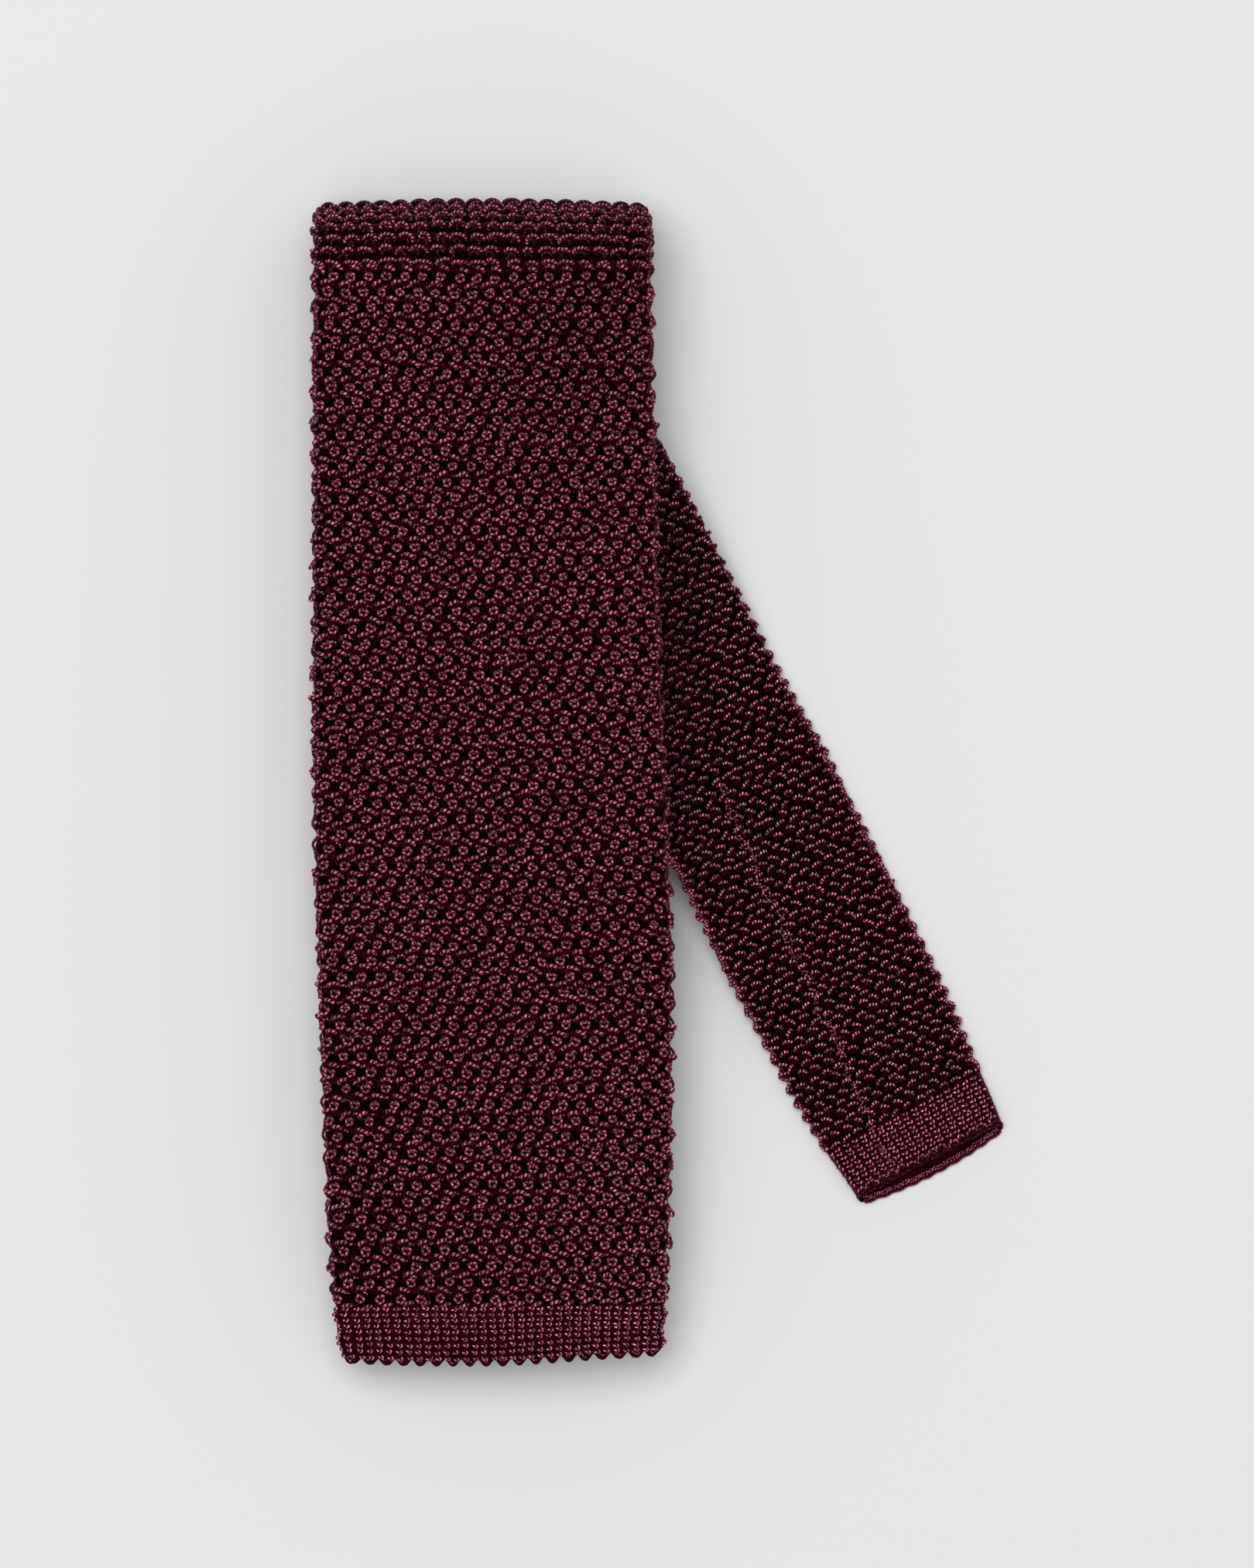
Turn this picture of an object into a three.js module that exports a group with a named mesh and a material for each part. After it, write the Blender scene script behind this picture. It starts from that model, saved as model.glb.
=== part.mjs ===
import * as THREE from "three";

// A knitted silk necktie, folded up and lying on a flat surface. It is one long flattened tube of
// knit with a finer knitted hem at each end. The wide blade lies on top, turns over at the top fold
// round the whole stack, runs back along the surface, and goes up and down as the hidden neckband.
// The last layer turns over a slanted fold under the blade and runs out to the lower right as the
// narrow tail, which drapes off the stack and ends flat on the surface with its mouth open.
// X runs to the right, Y towards the top fold and Z up from the surface. All sizes are millimetres.

// Driving dimensions
const TIE_LENGTH = 1450; // along the middle, from the blade's rim to the tail's rim
const FOLDED_LENGTH = 200.3; // from the blade's rim to the outside of the top fold
const BLADE_WIDTH = 60;
const NECK_WIDTH = 32;
const TAIL_WIDTH = 32.5;
const WALL = 1.0; // one thickness of the knit
const HOLLOW = 0.3; // between the tube's two walls where it lies flat
const LAYER_GAP = 0.3; // between one folded layer and the next
const BLADE_HEM_LENGTH = 7.2;
const TAIL_HEM_LENGTH = 9.3;
const HEM_JOINT = 0.3; // clearance between a hem and the knit that it ends

// Folds
const INNER_RECESS = 3; // the hidden folds stop this far short of where the top fold begins
const FOLD_CROWN = 0.9; // the top fold's middle stands this far beyond its corners
const TAIL_TURN_DEG = 27.6; // from the blade's direction to the tail's
const TAIL_RUN = 168.8; // along the tail, from its slanted fold to its rim
const TAIL_FOLD_DEPTH = 18.3; // from the outside of the top fold to the middle of the slanted fold

// Drape
const EDGE_DROOP = 3.4; // how far the blade's long edges hang below its middle
const EDGE_DROOP_FADE = 34; // the edges level out over this length next to the top fold
const END_DROOP = 0.35; // the blade's rim hangs by this share of its overhang past the stack
const END_DROOP_RUN = 2.6; // and the droop starts this many overhangs back from the rim
const TAIL_DRAPE_RUN = 38; // across the stack, from the top of the stack to the surface

// Hems
const PICOT_PITCH = 3.1; // one point of the scalloped rim to the next
const BLADE_PICOT = 1.15; // depth of the blade's scallops
const TAIL_PICOT = 0.45;
const LIP_MIDDLE = 2.5; // the tail's lower wall stands out beyond its upper wall
const LIP_CORNER = 1.3;
const MOUTH_FADE = 24; // an open mouth closes up over this length from its rim
const BLADE_MOUTH = 0.9; // how far the upper wall lifts at the blade's mouth
const TAIL_MOUTH = 2.5;
const CURL_RUN = 2.6; // the rims curl down over this length
const BLADE_CURL = 0.7; // how far the blade's rim curls down
const TAIL_CURL = 2.0; // how far the tail's upper rim curls down towards its lower one

// The blade's outline: share of the blade's straight run from its rim, share of the blade's width,
// and sideways drift of its middle from the stack's axis as a share of the blade's width.
const BLADE_OUTLINE = [
  { along: 0.0, width: 0.938, drift: 0.0575 },
  { along: 0.025, width: 0.955, drift: 0.054 },
  { along: 0.054, width: 0.978, drift: 0.052 },
  { along: 0.1, width: 0.992, drift: 0.05 },
  { along: 0.18, width: 1.014, drift: 0.044 },
  { along: 0.33, width: 1.036, drift: 0.041 },
  { along: 0.43, width: 1.034, drift: 0.031 },
  { along: 0.55, width: 1.024, drift: 0.018 },
  { along: 0.68, width: 1.01, drift: 0.01 },
  { along: 0.82, width: 1.0, drift: 0.004 },
  { along: 1.0, width: 0.99, drift: 0.0 },
];

// The tail's outline: share of the tail's run counted back from its rim, share of the tail's width,
// and sideways drift of its middle as a share of the tail's width.
const TAIL_OUTLINE = [
  { along: 0.0, width: 0.895, drift: -0.028 },
  { along: 0.024, width: 0.918, drift: -0.027 },
  { along: 0.055, width: 0.955, drift: -0.034 },
  { along: 0.12, width: 0.995, drift: -0.031 },
  { along: 0.27, width: 1.02, drift: -0.029 },
  { along: 0.4, width: 1.005, drift: -0.015 },
  { along: 0.6, width: 1.0, drift: -0.012 },
  { along: 1.0, width: 0.985, drift: 0.0 },
];

// Where the blade narrows to the neckband, as shares of the whole length
const TAPER_START = 0.155;
const TAPER_END = 0.52;

// How finely the surfaces are divided
const STEPS = { blade: 12, topFold: 10, back: 4, innerRun: 2, fold: 6, slantRun: 4, tail: 17 };
const HEM_STEPS = { flat: 2, curl: 3 };
const SPANS_ACROSS = 5;
const SPANS_PER_PICOT = 4;
const EDGE_ANGLES = [Math.PI / 4, 0, -Math.PI / 4];

const COLOUR_KNIT = 0x5a1a2b;
const COLOUR_HEM = 0x6a2236;

// Worked out from the driving dimensions
const LAYERS = 8;
const TUBE = 2 * WALL + HOLLOW; // thickness of one flattened layer
const LAYER_STEP = TUBE + LAYER_GAP;
const levelOf = (layer) => TUBE / 2 + layer * LAYER_STEP;
const STACK_HEIGHT = levelOf(LAYERS - 1) + TUBE / 2;
const TOP_RADIUS = (levelOf(LAYERS - 1) - levelOf(0)) / 2;
const FOLD_RADIUS = LAYER_STEP / 2;
const BLADE_RUN = FOLDED_LENGTH - STACK_HEIGHT / 2;
const TAIL_FOLD_Y = FOLDED_LENGTH - TAIL_FOLD_DEPTH;
const INNER_TOP_Y = BLADE_RUN - INNER_RECESS;
const FOLD_ARC = Math.PI * FOLD_RADIUS;

// All layers but the blade and the tail are hidden. They are as long as it takes to use up the
// whole tie: the first starts at the top fold and the last ends at the tail's slanted fold.
const HIDDEN = LAYERS - 2;
const USED_ELSEWHERE = BLADE_RUN + Math.PI * TOP_RADIUS + HIDDEN * FOLD_ARC + TAIL_RUN;
const HIDDEN_TOPS = BLADE_RUN + (HIDDEN - 2) * INNER_TOP_Y + TAIL_FOLD_Y;
const BOTTOM_Y = (USED_ELSEWHERE + HIDDEN_TOPS - TIE_LENGTH) / HIDDEN;
const OVERHANG = Math.max(0.1, BOTTOM_Y - FOLD_RADIUS);

const clamp01 = (t) => Math.min(1, Math.max(0, t));
const smooth = (t) => clamp01(t) ** 2 * (3 - 2 * clamp01(t));

// A column of an outline table at a share along it, on straight lines between rows.
function column(table, along, name) {
  const next = table.findIndex((row) => row.along >= along);
  if (next === 0) return table[0][name];
  if (next < 0) return table.at(-1)[name];
  const [low, high] = [table[next - 1], table[next]];
  return low[name] + ((high[name] - low[name]) * (along - low.along)) / (high.along - low.along);
}

// The middle line from the side: straight runs and half turns in the plane of Y and Z.
// Its last run goes straight on under the slanted fold, which foldTail then turns over.
const path = [];
let pathLength = 0;
function addPiece(length, y, z, heading, radius = 0, sense = 0) {
  path.push({ start: pathLength, length, y, z, heading, radius, sense });
  pathLength += length;
}
addPiece(BLADE_RUN, 0, levelOf(LAYERS - 1), 0);
addPiece(Math.PI * TOP_RADIUS, BLADE_RUN, levelOf(LAYERS - 1), 0, TOP_RADIUS, -1);
addPiece(BLADE_RUN - BOTTOM_Y, BLADE_RUN, levelOf(0), -Math.PI);
for (let layer = 1; layer < HIDDEN; layer++) {
  const upward = layer % 2 === 1;
  const turnY = upward ? BOTTOM_Y : INNER_TOP_Y;
  const topY = layer === HIDDEN - 1 ? TAIL_FOLD_Y : INNER_TOP_Y;
  addPiece(FOLD_ARC, turnY, levelOf(layer - 1), upward ? Math.PI : 0, FOLD_RADIUS, upward ? -1 : 1);
  addPiece(topY - BOTTOM_Y, turnY, levelOf(layer), upward ? 0 : Math.PI);
}
const SLANT_RUN = path.at(-1);
const SLANT_FOLD_AT = SLANT_RUN.start + SLANT_RUN.length;

function pathPoint(s) {
  const piece = path.findLast((p) => s >= p.start) ?? path[0];
  const { y, z, heading, radius, sense } = piece;
  const along = s - piece.start;
  if (radius === 0) return { y: y + Math.cos(heading) * along, z: z + Math.sin(heading) * along };
  const turned = heading + (sense * along) / radius;
  return {
    y: y + sense * radius * (Math.sin(turned) - Math.sin(heading)),
    z: z + sense * radius * (Math.cos(heading) - Math.cos(turned)),
  };
}

const bladeShare = (s) => s / BLADE_RUN;
const tailShare = (s) => (TIE_LENGTH - s) / TAIL_RUN;

// Full width of the flattened tube, at a length s from the blade's rim.
function widthAt(s) {
  if (s < BLADE_RUN) return BLADE_WIDTH * column(BLADE_OUTLINE, bladeShare(s), "width");
  if (s > SLANT_FOLD_AT) return TAIL_WIDTH * column(TAIL_OUTLINE, tailShare(s), "width");
  const start = BLADE_WIDTH * column(BLADE_OUTLINE, 1, "width");
  const share = s / TIE_LENGTH;
  return start + (NECK_WIDTH - start) * smooth((share - TAPER_START) / (TAPER_END - TAPER_START));
}

function driftAt(s) {
  if (s < BLADE_RUN) return BLADE_WIDTH * column(BLADE_OUTLINE, bladeShare(s), "drift");
  if (s > SLANT_FOLD_AT) return TAIL_WIDTH * column(TAIL_OUTLINE, tailShare(s), "drift");
  return 0;
}

// The slanted fold: its line passes over the stack's axis at TAIL_FOLD_Y, and its normal points out
// of the fold, half way between the two layers' directions.
const SLANT = THREE.MathUtils.degToRad(TAIL_TURN_DEG) / 2;
const FOLD_NORMAL = new THREE.Vector2(-Math.sin(SLANT), Math.cos(SLANT));

function foldTail(x, y, z) {
  const past = x * FOLD_NORMAL.x + (y - TAIL_FOLD_Y) * FOLD_NORMAL.y;
  if (past <= 0) return new THREE.Vector3(x, y, z);
  const angle = Math.min(past / FOLD_RADIUS, Math.PI);
  const out = FOLD_RADIUS * Math.sin(angle) - Math.max(0, past - FOLD_ARC);
  const lifted = z + FOLD_RADIUS * (1 - Math.cos(angle));
  const stackEdge = NECK_WIDTH / 2;
  const px = x + FOLD_NORMAL.x * (out - past);
  const py = y + FOLD_NORMAL.y * (out - past);
  const fallen = past > FOLD_ARC ? smooth((px - stackEdge) / TAIL_DRAPE_RUN) : 0;
  return new THREE.Vector3(px, py, lifted - fallen * (lifted - levelOf(0)));
}

// How far a rim curls down, at a length from it.
const curl = (fromRim, depth) => depth * Math.max(0, 1 - fromRim / CURL_RUN) ** 2;

// A point of the tube's middle surface, at a length s from the blade's rim and a distance across.
function middle(s, across) {
  const x = driftAt(s) + across;
  const { y, z } = pathPoint(s);
  if (s >= SLANT_RUN.start) return foldTail(x, y, z);
  const half = widthAt(s) / 2;
  const out = Math.abs(across) / half;
  if (s < BLADE_RUN) {
    const flat = NECK_WIDTH / 2 / half;
    const level = smooth((BLADE_RUN - s) / EDGE_DROOP_FADE);
    const edge = EDGE_DROOP * level * Math.max(0, (out - flat) / (1 - flat)) ** 2;
    const end = END_DROOP * OVERHANG * Math.max(0, 1 - s / (END_DROOP_RUN * OVERHANG)) ** 2;
    return new THREE.Vector3(x, y, z - edge - end - curl(s, BLADE_CURL));
  }
  const turn = Math.min((s - BLADE_RUN) / TOP_RADIUS, Math.PI);
  return new THREE.Vector3(x, y - FOLD_CROWN * out ** 2 * Math.sin(turn), z);
}

const DELTA = 0.02;
function place(s, across, out) {
  const along = middle(s + DELTA, across).sub(middle(s - DELTA, across));
  const side = middle(s, across + DELTA).sub(middle(s, across - DELTA));
  const normal = side.cross(along).normalize();
  return middle(s, across).addScaledVector(normal, out);
}

// How far the middle of a wall lifts to open a mouth, at a length from the rim.
const mouthLift = (fromRim, height) => height * (1 - smooth(fromRim / MOUTH_FADE));

// One closed ring of the tube's outer or inner skin: points in order round the flattened tube, each
// with its distance across, its distance out of the middle surface and its share of the half width.
function ringPoints(s, inset, spans) {
  const half = widthAt(s) / 2;
  const radius = TUBE / 2 - inset;
  const flat = half - TUBE / 2;
  const fromTail = TIE_LENGTH - s;
  const tailLift = mouthLift(fromTail, TAIL_MOUTH) - curl(fromTail, TAIL_CURL);
  const lifts = { 1: mouthLift(s, BLADE_MOUTH), [-1]: tailLift };
  const points = [];
  for (const face of [1, -1]) {
    for (let i = 0; i <= spans; i++) {
      const share = face * ((2 * i) / spans - 1);
      const lift = lifts[face] * (1 - share ** 2);
      points.push({ across: share * flat, out: face * (radius + lift), share, face });
    }
    for (const angle of EDGE_ANGLES) {
      const across = face * (flat + radius * Math.cos(angle));
      const side = Math.sin(angle);
      points.push({ across, out: face * radius * side, share: face, face: face * side });
    }
  }
  return points;
}

// A length of the tube between two ends as one closed solid. Each station has its length s, the
// slant of its ring, and at an open rim an edge function that gives each point's own length.
function tube(stations, spans) {
  const positions = [];
  const index = [];
  const count = ringPoints(stations[0].s, 0, spans).length;
  for (const inset of [0, WALL]) {
    for (const { s, slant = 0, edge } of stations) {
      for (const { across, out, share, face } of ringPoints(s, inset, spans)) {
        const own = edge ? edge(across, share, face) : 0;
        positions.push(...place(s + own + across * Math.tan(slant), across, out).toArray());
      }
    }
  }
  const skin = stations.length * count;
  const quad = (a, b, c, d) => index.push(a, b, c, a, c, d);
  for (let i = 0; i < count; i++) {
    const j = (i + 1) % count;
    for (let k = 0; k < stations.length - 1; k++) {
      const [low, high] = [k * count, (k + 1) * count];
      quad(low + i, low + j, high + j, high + i);
      quad(skin + low + j, skin + low + i, skin + high + i, skin + high + j);
    }
    const last = (stations.length - 1) * count;
    quad(i, skin + i, skin + j, j);
    quad(last + j, skin + last + j, skin + last + i, last + i);
  }
  const geometry = new THREE.BufferGeometry();
  geometry.setAttribute("position", new THREE.Float32BufferAttribute(positions, 3));
  geometry.setIndex(index);
  geometry.computeVertexNormals();
  return geometry;
}

function spread(from, to, steps, slantFrom = 0, slantTo = 0) {
  return Array.from({ length: steps }, (_, i) => ({
    s: from + ((to - from) * i) / steps,
    slant: slantFrom + ((slantTo - slantFrom) * i) / steps,
  }));
}

// The knit tube between its hems. Rings stand square to the tube, and lean over to lie along the
// slanted fold where they cross it.
function knitStations() {
  const from = BLADE_HEM_LENGTH + HEM_JOINT;
  const to = TIE_LENGTH - TAIL_HEM_LENGTH - HEM_JOINT;
  const innerRuns = path.slice(3, -1).flatMap(({ start, length, radius }) =>
    spread(start, start + length, radius ? STEPS.fold : STEPS.innerRun),
  );
  const [, topFold, back] = path;
  const foldFrom = SLANT_FOLD_AT;
  const foldTo = SLANT_FOLD_AT + FOLD_ARC / Math.cos(SLANT);
  return [
    ...spread(from, BLADE_RUN, STEPS.blade),
    ...spread(topFold.start, back.start, STEPS.topFold),
    ...spread(back.start, back.start + back.length, STEPS.back),
    ...innerRuns,
    ...spread(SLANT_RUN.start, foldFrom, STEPS.slantRun, 0, SLANT),
    ...spread(foldFrom, foldTo, STEPS.fold, SLANT, SLANT),
    ...spread(foldTo, to, STEPS.tail, SLANT, 0),
    { s: to },
  ];
}

const picots = (width) => Math.round(width / PICOT_PITCH);
const scallop = (share, count) => (1 - Math.cos(Math.PI * (share + 1) * count)) / 2;

function bladeHem() {
  const count = picots(BLADE_WIDTH);
  const edge = (across, share) => -BLADE_PICOT * scallop(share, count);
  const curled = spread(BLADE_PICOT, CURL_RUN, 1);
  const flat = spread(CURL_RUN, BLADE_HEM_LENGTH, HEM_STEPS.flat);
  return tube([{ s: 0, edge }, ...curled, ...flat, { s: BLADE_HEM_LENGTH }], count * SPANS_PER_PICOT);
}

// The tail turns over with its outer face down, so its lower wall is the one with face 1.
function tailHem() {
  const count = picots(TAIL_WIDTH);
  const edge = (across, share, face) => {
    const lip = LIP_CORNER + (LIP_MIDDLE - LIP_CORNER) * (1 - share ** 2);
    return (lip * (1 + face)) / 2 + TAIL_PICOT * scallop(share, count);
  };
  const curlAt = TIE_LENGTH - CURL_RUN;
  const flat = spread(TIE_LENGTH - TAIL_HEM_LENGTH, curlAt, HEM_STEPS.flat);
  const curled = spread(curlAt, TIE_LENGTH, HEM_STEPS.curl);
  return tube([...flat, ...curled, { s: TIE_LENGTH, edge }], count * SPANS_PER_PICOT);
}

function piece(name, geometry, color) {
  const material = new THREE.MeshStandardMaterial({ color, roughness: 0.6, metalness: 0 });
  const mesh = new THREE.Mesh(geometry, material);
  mesh.name = name;
  return mesh;
}

const tie = new THREE.Group();
tie.add(piece("knit_tube", tube(knitStations(), SPANS_ACROSS), COLOUR_KNIT));
tie.add(piece("blade_hem", bladeHem(), COLOUR_HEM));
tie.add(piece("tail_hem", tailHem(), COLOUR_HEM));

// The origin is under the middle of the folded tie, on the surface that it lies on.
const bounds = new THREE.Box3().setFromObject(tie, true);
const centre = bounds.getCenter(new THREE.Vector3());
tie.position.set(-centre.x, -centre.y, -bounds.min.z);

export default tie;
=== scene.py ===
"""A folded knit tie of burgundy silk, lying on a pale floor.

The tie is laid out in its own coordinates first: s runs along it from the blade's rim, w across a
face from its middle, and h out of its surface, all in millimetres. place() and skin() carry these to
the folded shape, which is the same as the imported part's. Every stitch is a short curve of yarn given
in those coordinates, so it follows the folds, the drape and the rounded long edges.
"""

import math

import bpy
import numpy as np
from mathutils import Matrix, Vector


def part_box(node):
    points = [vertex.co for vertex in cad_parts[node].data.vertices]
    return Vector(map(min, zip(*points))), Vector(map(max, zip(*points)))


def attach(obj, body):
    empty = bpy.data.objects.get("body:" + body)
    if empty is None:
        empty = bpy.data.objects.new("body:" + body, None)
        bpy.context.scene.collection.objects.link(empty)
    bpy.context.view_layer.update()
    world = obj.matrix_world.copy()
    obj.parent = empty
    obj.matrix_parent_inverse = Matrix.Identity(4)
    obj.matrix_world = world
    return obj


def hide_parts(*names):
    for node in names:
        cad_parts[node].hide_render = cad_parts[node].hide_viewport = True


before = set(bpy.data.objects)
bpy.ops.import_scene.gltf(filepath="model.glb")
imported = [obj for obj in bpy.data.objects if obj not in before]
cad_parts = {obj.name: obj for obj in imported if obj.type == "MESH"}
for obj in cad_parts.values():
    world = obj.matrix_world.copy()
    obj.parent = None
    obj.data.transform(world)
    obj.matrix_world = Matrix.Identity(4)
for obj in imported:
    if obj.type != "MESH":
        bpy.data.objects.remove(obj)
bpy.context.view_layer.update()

MM = 0.001
RNG = np.random.default_rng(11)

# The part's sizes in millimetres, as in its source
TIE_LENGTH = 1450.0
FOLDED_LENGTH = 200.3
BLADE_WIDTH = 60.0
NECK_WIDTH = 32.0
TAIL_WIDTH = 32.5
WALL = 1.0
HOLLOW = 0.3
LAYER_GAP = 0.3
BLADE_HEM_LENGTH = 7.2
TAIL_HEM_LENGTH = 9.3
HEM_JOINT = 0.3
INNER_RECESS = 3.0
FOLD_CROWN = 0.9
TAIL_TURN = math.radians(27.6)
TAIL_RUN = 168.8
TAIL_FOLD_DEPTH = 18.3
EDGE_DROOP = 3.4
EDGE_DROOP_FADE = 34.0
END_DROOP = 0.35
END_DROOP_RUN = 2.6
TAIL_DRAPE_RUN = 38.0
PICOT_PITCH = 3.1
BLADE_PICOT = 1.15
RIM_RIPPLE = 0.2
LIP_MIDDLE = 2.5
LIP_CORNER = 1.3
MOUTH_FADE = 24.0
BLADE_MOUTH = 0.9
TAIL_MOUTH = 2.5
CURL_RUN = 2.6
BLADE_CURL = 0.7
TAIL_CURL = 2.0
TAPER_START = 0.155
TAPER_END = 0.52
LAYERS = 8
BLADE_PICOTS = round(BLADE_WIDTH / PICOT_PITCH)
TAIL_PICOTS = round(TAIL_WIDTH / PICOT_PITCH)

# Share along, share of the width, sideways drift as a share of the width
BLADE_OUTLINE = np.array(
    [
        (0.0, 0.938, 0.0575),
        (0.025, 0.955, 0.054),
        (0.054, 0.978, 0.052),
        (0.1, 0.992, 0.05),
        (0.18, 1.014, 0.044),
        (0.33, 1.036, 0.041),
        (0.43, 1.034, 0.031),
        (0.55, 1.024, 0.018),
        (0.68, 1.01, 0.01),
        (0.82, 1.0, 0.004),
        (1.0, 0.99, 0.0),
    ]
)
TAIL_OUTLINE = np.array(
    [
        (0.0, 0.895, -0.028),
        (0.024, 0.918, -0.027),
        (0.055, 0.955, -0.034),
        (0.12, 0.995, -0.031),
        (0.27, 1.02, -0.029),
        (0.4, 1.005, -0.015),
        (0.6, 1.0, -0.012),
        (1.0, 0.985, 0.0),
    ]
)

TUBE = 2 * WALL + HOLLOW
LAYER_STEP = TUBE + LAYER_GAP
TOP_LEVEL = TUBE / 2 + (LAYERS - 1) * LAYER_STEP
STACK_HEIGHT = TOP_LEVEL + TUBE / 2
TOP_RADIUS = (LAYERS - 1) * LAYER_STEP / 2
FOLD_RADIUS = LAYER_STEP / 2
FOLD_ARC = math.pi * FOLD_RADIUS
BLADE_RUN = FOLDED_LENGTH - STACK_HEIGHT / 2
TAIL_FOLD_Y = FOLDED_LENGTH - TAIL_FOLD_DEPTH
INNER_TOP_Y = BLADE_RUN - INNER_RECESS
HIDDEN = LAYERS - 2
USED_ELSEWHERE = BLADE_RUN + math.pi * TOP_RADIUS + HIDDEN * FOLD_ARC + TAIL_RUN
TOP_ENDS = BLADE_RUN + (HIDDEN - 2) * INNER_TOP_Y + TAIL_FOLD_Y
BOTTOM_Y = (USED_ELSEWHERE + TOP_ENDS - TIE_LENGTH) / HIDDEN
OVERHANG = BOTTOM_Y - FOLD_RADIUS
EDGE_ARC = math.pi * TUBE / 2


def level_of(layer):
    """Height of a layer's middle, counted from 0 at the bottom."""
    return TUBE / 2 + layer * LAYER_STEP


def smooth(t):
    """A rise from 0 to 1 that starts and ends gently."""
    t = np.clip(t, 0.0, 1.0)
    return t * t * (3 - 2 * t)


# The middle line's pieces: start, length, y, z, heading, radius, sense
PATH = []


def add_piece(length, y, z, heading, radius=0.0, sense=0.0):
    """Carry the middle line on by a straight run, or by an arc if a radius is given."""
    start = PATH[-1][0] + PATH[-1][1] if PATH else 0.0
    PATH.append((start, length, y, z, heading, radius, sense))


add_piece(BLADE_RUN, 0.0, TOP_LEVEL, 0.0)
add_piece(math.pi * TOP_RADIUS, BLADE_RUN, TOP_LEVEL, 0.0, TOP_RADIUS, -1.0)
add_piece(BLADE_RUN - BOTTOM_Y, BLADE_RUN, level_of(0), -math.pi)
for layer in range(1, HIDDEN):
    upward = layer % 2 == 1
    turn_y = BOTTOM_Y if upward else INNER_TOP_Y
    top_y = TAIL_FOLD_Y if layer == HIDDEN - 1 else INNER_TOP_Y
    heading = math.pi if upward else 0.0
    add_piece(FOLD_ARC, turn_y, level_of(layer - 1), heading, FOLD_RADIUS, -1.0 if upward else 1.0)
    add_piece(top_y - BOTTOM_Y, turn_y, level_of(layer), 0.0 if upward else math.pi)
PATH_ROWS = np.array(PATH)
BACK_START = PATH_ROWS[2, 0]
BACK_END = PATH_ROWS[3, 0]
SLANT_START = PATH_ROWS[-1, 0]
SLANT_FOLD_AT = SLANT_START + PATH_ROWS[-1, 1]
TAIL_START = SLANT_FOLD_AT + FOLD_ARC


def path_point(s):
    """Where the middle line is at a length, as y and z."""
    index = np.clip(np.searchsorted(PATH_ROWS[:, 0], s, side="right") - 1, 0, None)
    start, _, y, z, heading, radius, sense = np.moveaxis(PATH_ROWS[index], -1, 0)
    along = s - start
    bent = radius > 0
    safe = np.where(bent, radius, 1.0)
    turned = heading + sense * along / safe
    arc_y = y + sense * radius * (np.sin(turned) - np.sin(heading))
    arc_z = z + sense * radius * (np.cos(heading) - np.cos(turned))
    return (
        np.where(bent, arc_y, y + np.cos(heading) * along),
        np.where(bent, arc_z, z + np.sin(heading) * along),
    )


def outline(s, column):
    """The outline tables' width or drift in millimetres; the hidden layers taper and don't drift."""
    blade = BLADE_WIDTH * np.interp(s / BLADE_RUN, BLADE_OUTLINE[:, 0], BLADE_OUTLINE[:, column])
    tail_share = (TIE_LENGTH - s) / TAIL_RUN
    tail = TAIL_WIDTH * np.interp(tail_share, TAIL_OUTLINE[:, 0], TAIL_OUTLINE[:, column])
    if column == 1:
        start = BLADE_WIDTH * BLADE_OUTLINE[-1, 1]
        taper = smooth((s / TIE_LENGTH - TAPER_START) / (TAPER_END - TAPER_START))
        hidden = start + (NECK_WIDTH - start) * taper
    else:
        hidden = 0.0 * s
    return np.where(s < BLADE_RUN, blade, np.where(s > SLANT_FOLD_AT, tail, hidden))


def half_at(s):
    """Half of the tie's width at a length."""
    return outline(s, 1) / 2


def curl(from_rim, depth):
    """How far a rim bends down."""
    return depth * np.maximum(0.0, 1 - from_rim / CURL_RUN) ** 2


SLANT = TAIL_TURN / 2
FOLD_NORMAL = (-math.sin(SLANT), math.cos(SLANT))


def fold_tail(x, y, z):
    """Turn what lies past the slanted fold over it, and let it fall to the surface."""
    past = x * FOLD_NORMAL[0] + (y - TAIL_FOLD_Y) * FOLD_NORMAL[1]
    angle = np.clip(past / FOLD_RADIUS, 0.0, math.pi)
    out = FOLD_RADIUS * np.sin(angle) - np.maximum(0.0, past - FOLD_ARC)
    lifted = z + FOLD_RADIUS * (1 - np.cos(angle))
    px = x + FOLD_NORMAL[0] * (out - past)
    py = y + FOLD_NORMAL[1] * (out - past)
    fallen = np.where(past > FOLD_ARC, smooth((px - NECK_WIDTH / 2) / TAIL_DRAPE_RUN), 0.0)
    folded = past > 0
    return (
        np.where(folded, px, x),
        np.where(folded, py, y),
        np.where(folded, lifted - fallen * (lifted - level_of(0)), z),
    )


def middle(s, across):
    """A point of the tube's middle surface, in the part source's millimetres."""
    x = outline(s, 2) + across
    y, z = path_point(s)
    fx, fy, fz = fold_tail(x, y, z)
    half = half_at(s)
    out = np.abs(across) / half
    flat = NECK_WIDTH / 2 / half
    level = smooth((BLADE_RUN - s) / EDGE_DROOP_FADE)
    edge = EDGE_DROOP * level * (np.maximum(0.0, out - flat) / np.maximum(1 - flat, 0.01)) ** 2
    end = END_DROOP * OVERHANG * np.maximum(0.0, 1 - s / (END_DROOP_RUN * OVERHANG)) ** 2
    turn = np.clip((s - BLADE_RUN) / TOP_RADIUS, 0.0, math.pi)
    on_blade = s < BLADE_RUN
    on_slant = s >= SLANT_START
    crown = FOLD_CROWN * out**2 * np.sin(turn)
    bx = np.where(on_slant, fx, x)
    by = np.where(on_slant, fy, np.where(on_blade, y, y - crown))
    bz = np.where(on_slant, fz, np.where(on_blade, z - edge - end - curl(s, BLADE_CURL), z))
    return np.stack([bx, by, bz], axis=-1)


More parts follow.
